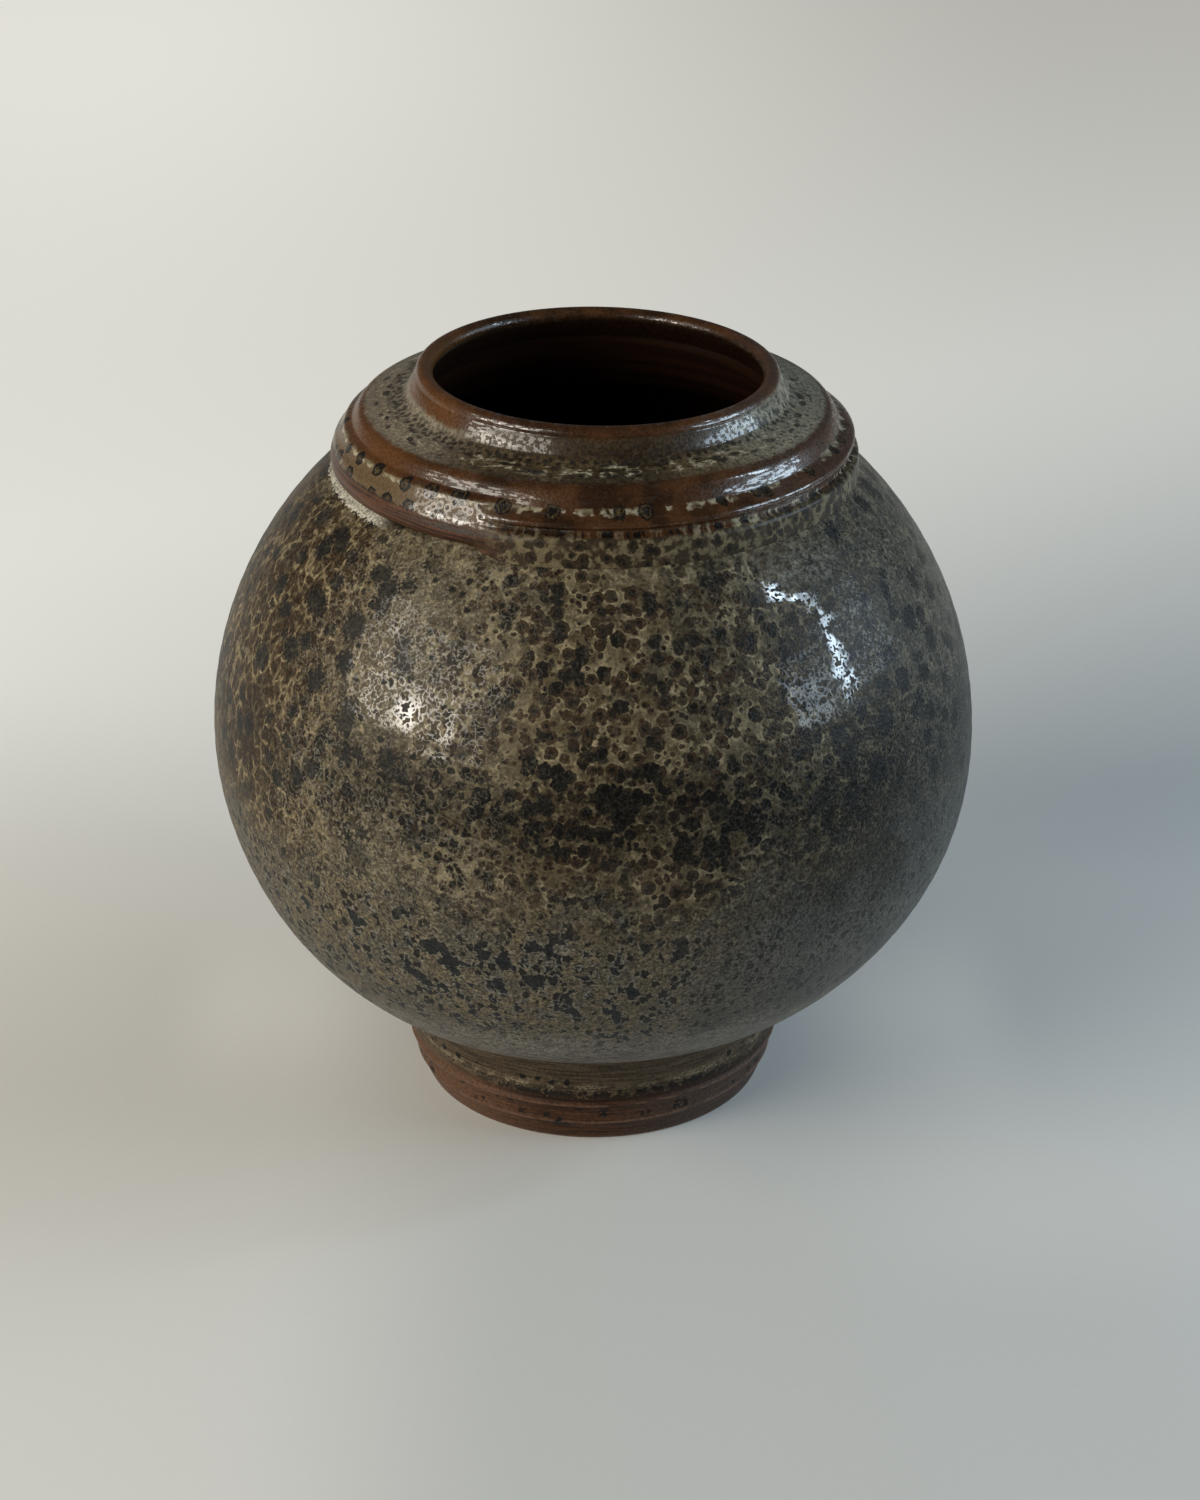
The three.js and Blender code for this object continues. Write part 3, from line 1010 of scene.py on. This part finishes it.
def lined_tiers(g, colour):
    colour = g.blend(colour, g.rust, g.on_tiers)
    band = g.between(g.torn, *FULL_BAND, 0.4) * g.outer
    colour = g.blend(colour, BAND_BROWN, band * g.thick_side * 0.75)
    upper_line = g.between(g.torn, *UPPER_LINE, 0.2) * g.rise(g.segment, 0.47, 0.5) * 0.85
    lower_line = g.between(g.torn, *LOWER_LINE, 0.2) * g.rise(g.segment, 0.5, 0.47)
    lines = upper_line + lower_line * g.facing(-80.0, 30.0, 10.0)
    return g.blend(colour, g.cream, lines.at_most(1.0) * g.outer)


def row_of_spots(g, colour, zone, row, per_radian):
    along = {"W": g.turn() * per_radian, "Scale": 1.0}
    one_way = {"voronoi_dimensions": "1D"}
    gap = g.node("ShaderNodeTexVoronoi", one_way, along) * (SPOT_RADIUS / per_radian)
    chance = g.luck(g.node("ShaderNodeTexVoronoi", one_way, along, output="Color"))
    lift = g.level + g.ragged - row + (chance - 0.5) * 1.3 * g.thick_side
    eye = gap * gap * 0.55 + lift * lift + g.fine * 0.5 + (chance - 0.4) * 0.9
    colour = g.blend(colour, SOOT, g.rise(eye - g.thick_side * 0.5, 1.2, 0.9) * zone * 0.95)
    return g.blend(colour, EYE_TAN, g.between(eye, 0.22, 0.42, 0.1) * zone * 0.8)


print("rows of spots", UPPER_ROW, LOWER_ROW)

# %% Fill the undercut
DRIP_BROWN, DRIP_KHAKI = paint(54, 44, 30), paint(106, 95, 72)
STRIP_RUST, STRIP_BROWN = paint(78, 48, 30), paint(38, 24, 15)
DRIP_SIZE = 2.5
DRIP_EDGE = (4.2, 3.6)
UNDERCUT = (3.6, 5.2)
GROOVE_INNER = (50.0, 51.0)


def undercut_and_drips(g, colour):
    side = g.part(g.outward, "X")
    sunk = g.torn + side * GROOVE_SPIRAL * g.between(g.height - collar_seat, 3, 6, 1.0)
    tick = g.noise(g.warped(g.round_the_pot(50.0, g.height * 0.25), 1.2, 0.8), 1.5, 2.0)
    ticked = g.rise(tick, 0.48, 0.43) * (0.25 + g.facing(62.0, 34.0, 14.0) * 0.7)
    ticked = g.blend(g.blend(g.rust, g.cream, ticked), SOOT, g.rise(tick, 0.5, 0.56))
    inner = g.rise(g.radius, *GROOVE_INNER)
    undercut = g.between(sunk, *UNDERCUT, 0.25) * inner * (1 - g.thick_side)
    colour = g.blend(colour, ticked, undercut * g.rise(g.segment, 0.34, 0.42))
    g.covered = g.rise(sunk, *DRIP_EDGE) * inner
    place = g.warped(g.warped(g.spot, 0.8, 0.6), 4.0, 1.6)
    disc = g.discs(place, DRIP_SIZE, 0.28, 0.26)[0] + g.fine * 0.3
    drips = g.blend(DRIP_BROWN, DRIP_KHAKI, g.rise(disc, 1.0, 1.3) * g.rise(g.ragged, -0.12, 0.08))
    eyes = g.rise(disc, 0.7, 0.4) + g.between(disc, 0.86, 1.0, 0.1) * 0.6
    colour = g.blend(colour, g.blend(drips, SOOT, eyes.at_most(0.92)), g.covered * (1 - g.thick_side))
    lines = g.noise(g.stretched((0.06, 0.06, 2.4)), 1.0, 2.0)
    strip = g.blend(STRIP_RUST, STRIP_BROWN, g.rise(lines, 0.46, 0.56))
    return g.blend(colour, strip, g.covered * g.thick_side * 0.9)


print("undercut", UNDERCUT, "mm over the seat")

# %% [markdown]
# ## The collar's glaze: neck and gloss
# The lip is rust all round, the neck below it darkens at the front, and the throat is painted nearly
# black as shade. The neck sits off the axis, so its distance is measured from its own middle. The rust is
# glassy in streaks that follow the wheel, and one stretch of the band is blistered: small bubbles burst
# there and left bright rims.

# %% Burn the neck and the lip
NECK_BROWN, THROAT_SHADE_BLACK = paint(46, 33, 18), paint(24, 12, 5)
NECK_WALL = (39.6, 38.6)
THROAT_WALL = (36.0, 35.2)
LIP_EDGE = (4.0, 5.2)


def neck_and_lip(g, colour):
    off_axis = g.vector("SUBTRACT", {0: g.spot, 1: (NECK_OFFSET, 0, 0)})
    neck_radius = g.vector("LENGTH", {0: g.vector("MULTIPLY", {0: off_axis, 1: (1, 1, 0)})}, "Value")
    wall = g.rise(neck_radius, *NECK_WALL) * g.rise(g.height, neck_seat, neck_seat + 1)
    colour = g.blend(colour, NECK_BROWN, wall * g.facing(8.0, 34.0, 14.0) * 0.75)
    lip_edge = g.torn + g.facing(-62.0, 26.0, 12.0) * 2 + (collar_seat - neck_seat)
    g.lip = g.rise(lip_edge, *LIP_EDGE)
    colour = g.blend(colour, g.rust, g.lip)
    # Painted shade: the inside of the throat under the lip is made nearly black.
    throat = g.rise(neck_radius, *THROAT_WALL) * g.rise(g.height, lip_top - 0.6, lip_top - 2.6)
    return g.blend(colour, THROAT_SHADE_BLACK, throat)


print("rust on the lip from", LIP_EDGE[0], "mm over the neck's seat")

# %% Mix the collar's glaze
BLISTERS = (3.6, 8.6)
BUBBLE_SIZE = 1.9


def tiered_glaze():
    g = collar_zones()
    colour = lined_tiers(g, collar_deck(g))
    colour = row_of_spots(g, colour, g.outer, **UPPER_ROW)
    colour = row_of_spots(g, colour, g.outer * g.facing(-70.0, 40.0, 8.0), **LOWER_ROW)
    colour = neck_and_lip(g, undercut_and_drips(g, colour))
    bubble = g.cells(g.warped(g.spot, 0.8, 0.4), BUBBLE_SIZE)
    bubbled = g.facing(-31.0, 13.0, 4.0) * g.between(g.torn, *BLISTERS, 0.4) * g.outer
    colour = g.blend(colour, SOOT, g.rise(bubble, 0.26, 0.18) * bubbled * 0.85)
    smooth = g.on_tiers.at_least(g.lip)
    colour = g.shaded(colour, 1 + g.fine * (0.8 - smooth * 0.45))

    flake = g.rise(g.noise(g.warped(g.spot, 0.8, 0.6), 0.8, 2.0, 0.6), 0.46, 0.54)
    glassy = (g.on_tiers * (1 - bubbled)).at_least(g.lip)
    blister = (g.between(bubble, 0.3, 0.46, 0.05) + flake * 0.6).at_most(1.0) * bubbled
    streak = g.noise(g.round_the_pot(16.0, g.height * 2.4), 1.0, 3.0, 0.6) + g.fine * 0.12
    windows = (g.facing(-29.0, 13.0, 9.0) * 0.6).at_least(g.facing(43.0, 9.0, 6.0))
    polish = g.rise(streak, 0.56 - windows * 0.12, 0.66 - windows * 0.12)
    dull = flake * 0.6 * (1 - bubbled) + blister * 0.95
    gloss = glassy * polish * 0.9 + (1 - glassy) * dull
    gloss = gloss * (1 - g.covered) * (1 - g.facing(-92.0, 38.0, 14.0) * 0.9)
    roughness = 0.38 - glassy * 0.08 + g.fine * 0.1 + g.covered * 0.1
    relief = g.fine * 0.3 + blister * 0.6 + g.ragged * 0.3
    return g.fire(colour, roughness, relief, depth=0.08, glassiness=1.3, coat=gloss, haze=0.1)


collar_glaze = tiered_glaze()

# %% [markdown]
# ## The foot's glaze
# On the foot the glaze is thin. The clay shows through reddish brown, the turned ridges are rubbed pinkish
# tan, dark spots sit between them and the standing ring is bare. Above the waist the globe's glaze ends in
# scallops. The ridges wander with the mesh, so the colours that belong to them are set by a height that
# wanders alike.

# %% Colour the foot's clay
CLAY_BROWN, CLAY_RED = paint(48, 30, 18), paint(76, 50, 34)
LEFT_CLAY, RIGHT_CLAY = paint(98, 72, 54), paint(72, 62, 55)
SHADE_BROWN, RIDGE_PINK = paint(34, 20, 12), paint(116, 88, 72)
PIT_BLACK, SPLASH_BLACK = paint(24, 20, 18), paint(22, 24, 26)
PIT_SIZE = 2.3
SPLASH_SIZE = 9.0
LOWER_RIDGE, UPPER_RIDGE = (4.9, 5.5), (9.7, 10.3)
LOWER_PITS, UPPER_PITS = (5.9, 7.2), (8.6, 9.4)
SPLASHES = (4.0, 9.0)
WAIST_SHADE = (10.8, 12.8)


def foot_zones():
    g = Glaze("foot_glaze")
    g.right = g.facing(70.0, 50.0, 20.0)
    g.left = g.facing(-70.0, 40.0, 20.0)
    g.front_left = g.facing(-32.0, 34.0, 12.0)
    g.fine = g.grit(0.6)
    g.wave = g.noise(g.spot, 6.0, 3.0)
    g.brush = g.noise(g.stretched((0.1, 0.1, 2.2)), 1.0, 3.0)
    g.level = g.height - g.part(g.outward, "X") * RIDGE_WANDER + (g.wave - 0.5) * 0.5
    g.ring = g.round_the_pot(39.0, g.height * 0.6)
    g.pit = g.rise(g.cells(g.warped(g.ring, 1.0, 0.6), PIT_SIZE) + g.fine * 0.2, 0.38, 0.26)
    g.rows = g.between(g.level, *LOWER_PITS, 0.3) + g.between(g.level, *UPPER_PITS, 0.2)
    return g


def ridged_clay(g):
    clay = g.blend(CLAY_BROWN, CLAY_RED, g.rise(g.brush, 0.36, 0.64))
    clay = g.blend(clay, LEFT_CLAY, g.left * 0.7)
    clay = g.blend(clay, RIGHT_CLAY, g.right * 0.6)
    # Painted shade: a dark brown band below the waist, under the globe's overhang, left out on the lit left.
    clay = g.blend(clay, SHADE_BROWN, g.between(g.level, *WAIST_SHADE, 0.5) * (1 - g.left) * 0.8)
    ridges = g.between(g.level, *LOWER_RIDGE, 0.25) + g.between(g.level, *UPPER_RIDGE, 0.25)
    clay = g.blend(clay, RIDGE_PINK, ridges * g.rise(g.wave, 0.3, 0.55) * 0.7)
    clay = g.blend(clay, PIT_BLACK, g.pit * g.rows * 0.85)
    splash = g.cells(g.warped(g.spot, 1.2, 1.2), SPLASH_SIZE) + g.fine * 0.1
    return g.blend(clay, SPLASH_BLACK, g.rise(splash, 0.25, 0.19) * g.between(g.level, *SPLASHES, 1.0))


print("ridges", LOWER_RIDGE, UPPER_RIDGE, "mm up")

# %% Mix the foot's glaze
FOOT_DARK_OLIVE, FOOT_OLIVE = paint(56, 46, 34), paint(82, 70, 54)
DASH_BLACK, SCALLOP_TAN = paint(20, 16, 13), paint(136, 124, 102)
PINHOLE_BLACK, BARE_CLAY = paint(18, 15, 13), paint(104, 80, 66)
OLIVE_EDGE = (11.8, 12.8)
DASHES = (12.2, 13.3)
SCALLOPS = (14.2, 15.2)
PINHOLES = (14.9, 16.6)
BARE_EDGE = (1.0, 0.3)


def thin_glaze():
    g = foot_zones()
    olive = g.blend(FOOT_DARK_OLIVE, FOOT_OLIVE, g.rise(g.brush, 0.38, 0.62))
    colour = g.blend(ridged_clay(g), olive, g.rise(g.level + g.fine * 1.2, *OLIVE_EDGE))
    dashes = g.between(g.level + g.fine * 0.7, *DASHES, 0.25) * g.rise(g.noise(g.ring, 2.4), 0.4, 0.48)
    colour = g.blend(colour, DASH_BLACK, dashes * g.facing(8.0, 44.0, 16.0) * 0.92)
    scallop = g.between(g.level + g.fine * 1.6, *SCALLOPS, 0.3) * g.rise(g.noise(g.ring, 3.0), 0.42, 0.52)
    colour = g.blend(colour, SCALLOP_TAN, scallop * (g.front_left + g.right * 0.8) * 0.8)
    pinholes = g.pit * g.between(g.level, *PINHOLES, 0.3)
    colour = g.blend(colour, PINHOLE_BLACK, pinholes * (g.front_left + g.right))
    bare = g.rise(g.height, *BARE_EDGE)
    colour = g.shaded(g.blend(colour, BARE_CLAY, bare), 1 + g.fine * 0.6)
    roughness = 0.46 + bare * 0.3 + g.fine * 0.1
    relief = g.fine * 0.4 + g.brush * 0.5 - g.pit * g.rows * 0.5
    return g.fire(colour, roughness, relief, depth=0.1, glassiness=1.25)


foot_glaze = thin_glaze()

# %% [markdown]
# ## The inside
# The inside was lined with a plain iron glaze, which looks almost black through the mouth. Throwing rings
# show in it as faint bands, made by noise that is stretched far round the pot and little upwards.

# %% Mix the lining
LINING_BLACK, LINING_BROWN = paint(24, 13, 7), paint(36, 20, 11)


def lining_glaze():
    g = Glaze("lining_glaze")
    bands = g.noise(g.stretched((0.02, 0.02, 0.5)), 1.0, 2.0)
    grain = g.noise(g.spot, 0.9, 2.0)
    colour = g.blend(LINING_BLACK, LINING_BROWN, g.rise(bands, 0.35, 0.65))
    colour = g.shaded(colour, 0.8 + grain * 0.4)
    return g.fire(colour, 0.3, bands + grain * 0.3, depth=0.15, glassiness=1.46)


lining = lining_glaze()

# %% [markdown]
# ## Dressing the sections
# Each section takes its glaze, stands for its node of the frame and rides on the only body. The slot says
# which finish of the record it belongs to. The faces that look towards the axis get the lining, and so
# does the floor of the pot. Its underside, inside the foot, gets the thin glaze of the foot.

# %% Dress the sections
slots = {"foot_ring": "foot_glaze", "lower_bowl": "body_glaze", "upper_bowl": "body_glaze"}
glazes = {"foot_glaze": foot_glaze, "body_glaze": body_glaze, "collar_glaze": collar_glaze}
lined = {"lower_bowl": floor_top - 0.5, "upper_bowl": belly_seam, "collar_ring": collar_seat}
LOOKS_UP = 0.9
MATERIAL_ORDER = {"lining": 1, "foot": 2}


def line_inside(piece, node):
    piece.data.materials.append(lining)
    piece.data.materials.append(foot_glaze)
    for face in piece.data.polygons:
        level = face.center.z / MM
        faces_axis = face.normal.x * face.center.x + face.normal.y * face.center.y < 0
        is_floor = level < floor_top + 1 and face.normal.z > LOOKS_UP
        if level > lined[node] and (faces_axis or is_floor):
            face.material_index = MATERIAL_ORDER["lining"]
        elif level < foot_top - 1:
            face.material_index = MATERIAL_ORDER["foot"]


for node, piece in pieces.items():
    slot = slots.get(node, "collar_glaze")
    piece.data.materials.clear()
    piece.data.materials.append(glazes[slot])
    if node in lined:
        line_inside(piece, node)
    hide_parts(node)
    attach(piece, "root")
print("dressed", sorted(piece.name for piece in pieces.values()))

# %% [markdown]
# ## The table
# The pot stands on a plain pale sheet that runs on behind it. Far away the sheet is lighter, most of all
# on the left, and close to the foot it is a little lighter on both sides. The lamps are too close to do
# that, so a faint glow lifts the sheet there. Only the camera and reflections see it, and it lights
# nothing else.

# %% Lay the table
TABLE_SIZE = 12
TABLE_GREY = paint(207, 207, 203)
GLOW_WHITE = paint(255, 252, 240)


def table_glow(g):
    across = g.part(g.spot, "X")
    away = g.part(g.spot, "Y")
    side = g.rise(across, -220.0, 220.0)
    near_left = g.rise(away, 140.0, 0.0) * 0.1 + g.between(away, 30.0, 220.0, 45.0) * 0.035
    near_right = g.between(away, -75.0, 110.0, 35.0) * 0.065
    near = g.rise(across, -10.0, -70.0) * near_left + g.rise(across, 30.0, 90.0) * near_right
    beside = g.between(across * across, 2600.0, 8000.0, 2000.0) * g.between(away, -8.0, 45.0, 30.0)
    far = g.rise(away, 300.0, 900.0) * (1 - side) * 0.17
    behind = g.rise(away - across * 0.5, 20.0, 400.0) * (0.46 - side * 0.12)
    return behind + near + beside * 0.06 + far


def table_paper():
    g = Glaze("table_paper")
    colour = g.shaded(TABLE_GREY, 0.98 + g.noise(g.spot, 1.4, 2.0) * 0.04)
    paper = g.node("ShaderNodeBsdfPrincipled", {}, {"Base Color": colour, "Roughness": 0.8})
    light = g.node("ShaderNodeEmission", {}, {"Color": g.shaded(GLOW_WHITE, table_glow(g)), "Strength": 1.0})
    lifted = g.node("ShaderNodeAddShader", {}, {0: paper, 1: light})
    by_camera = g.node("ShaderNodeLightPath", output="Is Camera Ray")
    by_mirror = g.node("ShaderNodeLightPath", output="Is Glossy Ray")
    seen = by_camera.at_least(by_mirror)
    return g.closed(g.node("ShaderNodeMixShader", {}, {0: seen, 1: paper, 2: lifted}))


bpy.ops.object.select_all(action="DESELECT")
bpy.ops.mesh.primitive_plane_add(size=TABLE_SIZE)
table = bpy.context.object
table.name = "table"
table.data.materials.append(table_paper())
print("table", tuple(table.dimensions))

# %% [markdown]
# ## Light
# Two soft lamps stand in for windows: a warm one on the left, which is the key, and a cooler one on the
# right. The warm one has a small bright pane in it, and a slanted bar hangs over the cool one. Both break
# up on the pitted glaze. An area lamp is chosen because its shape shows in the gloss, as a window's does.

# %% Hang the lamps
WARM = (1.0, 0.93, 0.82)
COOL = (0.68, 0.85, 1.0)
AIM_HEIGHT = 0.1


def window(name, colour, turn, lift, distance, width, height, power, roll=0):
    angle = math.radians(turn)
    rise = math.radians(lift)
    away = np.array([math.sin(angle) * math.cos(rise), -math.cos(angle) * math.cos(rise), math.sin(rise)])
    place = away * distance + np.array([0, 0, AIM_HEIGHT])
    bpy.ops.object.light_add(type="AREA", location=place, rotation=(math.radians(90) - rise, 0, angle))
    lamp = bpy.context.object
    lamp.name = name
    lamp.rotation_euler.rotate_axis("Z", math.radians(roll))
    lamp.data.shape = "RECTANGLE"
    lamp.data.size = width
    lamp.data.size_y = height
    lamp.data.energy = power
    lamp.data.color = colour
    print(name, [round(float(v), 3) for v in place])


window("warm_window", WARM, turn=-57, lift=26, distance=0.9, width=0.85, height=0.48, power=5.3)
window("warm_pane", WARM, turn=-58, lift=17, distance=0.88, width=0.5, height=0.25, power=2.4)
window("cool_window", COOL, turn=85, lift=17, distance=0.74, width=0.6, height=0.26, power=3.5)
window("cool_bar", COOL, turn=84, lift=36, distance=0.72, width=0.22, height=0.05, power=0.45, roll=-50)

# %% [markdown]
# ## A dim room
# The room is dim, which leaves the front of the globe dark between its two highlights. The table in front
# of the pot would mirror pale in the lower half, so a dark card lies there that only the gloss sees: the
# camera, the bounced light and the shadows pass it by.

# %% Darken the room
CARD_PLACE = (0, -1.45, 0.002)
CARD_SIZE = (3.0, 2.0, 1.0)
CARD_GREY = paint(40, 38, 34)
ROOM_COLOUR = (0.9, 0.95, 1.0, 1.0)
ROOM_STRENGTH = 0.1

bpy.ops.mesh.primitive_plane_add(size=1, location=CARD_PLACE)
card = bpy.context.object
card.name = "dark_card"
card.scale = CARD_SIZE
bpy.ops.object.transform_apply(location=True, rotation=False, scale=True)
card_paint = Recipe("dark_card")
matt = card_paint.node("ShaderNodeBsdfPrincipled", {}, {"Base Color": CARD_GREY, "Roughness": 0.9})
card.data.materials.append(card_paint.closed(matt))
card.visible_camera = False
card.visible_diffuse = False
card.visible_shadow = False

room = bpy.data.worlds.new("dim_room")
room.use_nodes = True
background = room.node_tree.nodes["Background"]
background.inputs["Color"].default_value = ROOM_COLOUR
background.inputs["Strength"].default_value = ROOM_STRENGTH
bpy.context.scene.world = room
print("card", tuple(card.dimensions), "room", ROOM_STRENGTH)

# %% [markdown]
# ## The camera
# The camera looks down at the pot from the front, well above the lip, through a long lens. A long lens
# from further off keeps the ellipses of the mouth and the foot calm, as they are in a product photograph.

# %% Set the camera
CAMERA_PLACE = (0.0015, -0.67685, 0.40255)
CAMERA_TILT = math.radians(64.07)
LENS = 85.42
SENSOR = 36
NEAREST = 0.01

bpy.ops.object.camera_add(location=CAMERA_PLACE, rotation=(CAMERA_TILT, 0, 0))
camera = bpy.context.object
camera.name = "camera"
camera.data.lens = LENS
camera.data.sensor_width = SENSOR
camera.data.clip_start = NEAREST
bpy.context.scene.camera = camera
bpy.context.scene.view_settings.view_transform = "Standard"
print("camera at", CAMERA_PLACE, "lens", LENS)

# %% [markdown]
# ## The size of the pot
# Blender must not change the size of the object. The faults of handwork moved the belly and the rim
# a little.
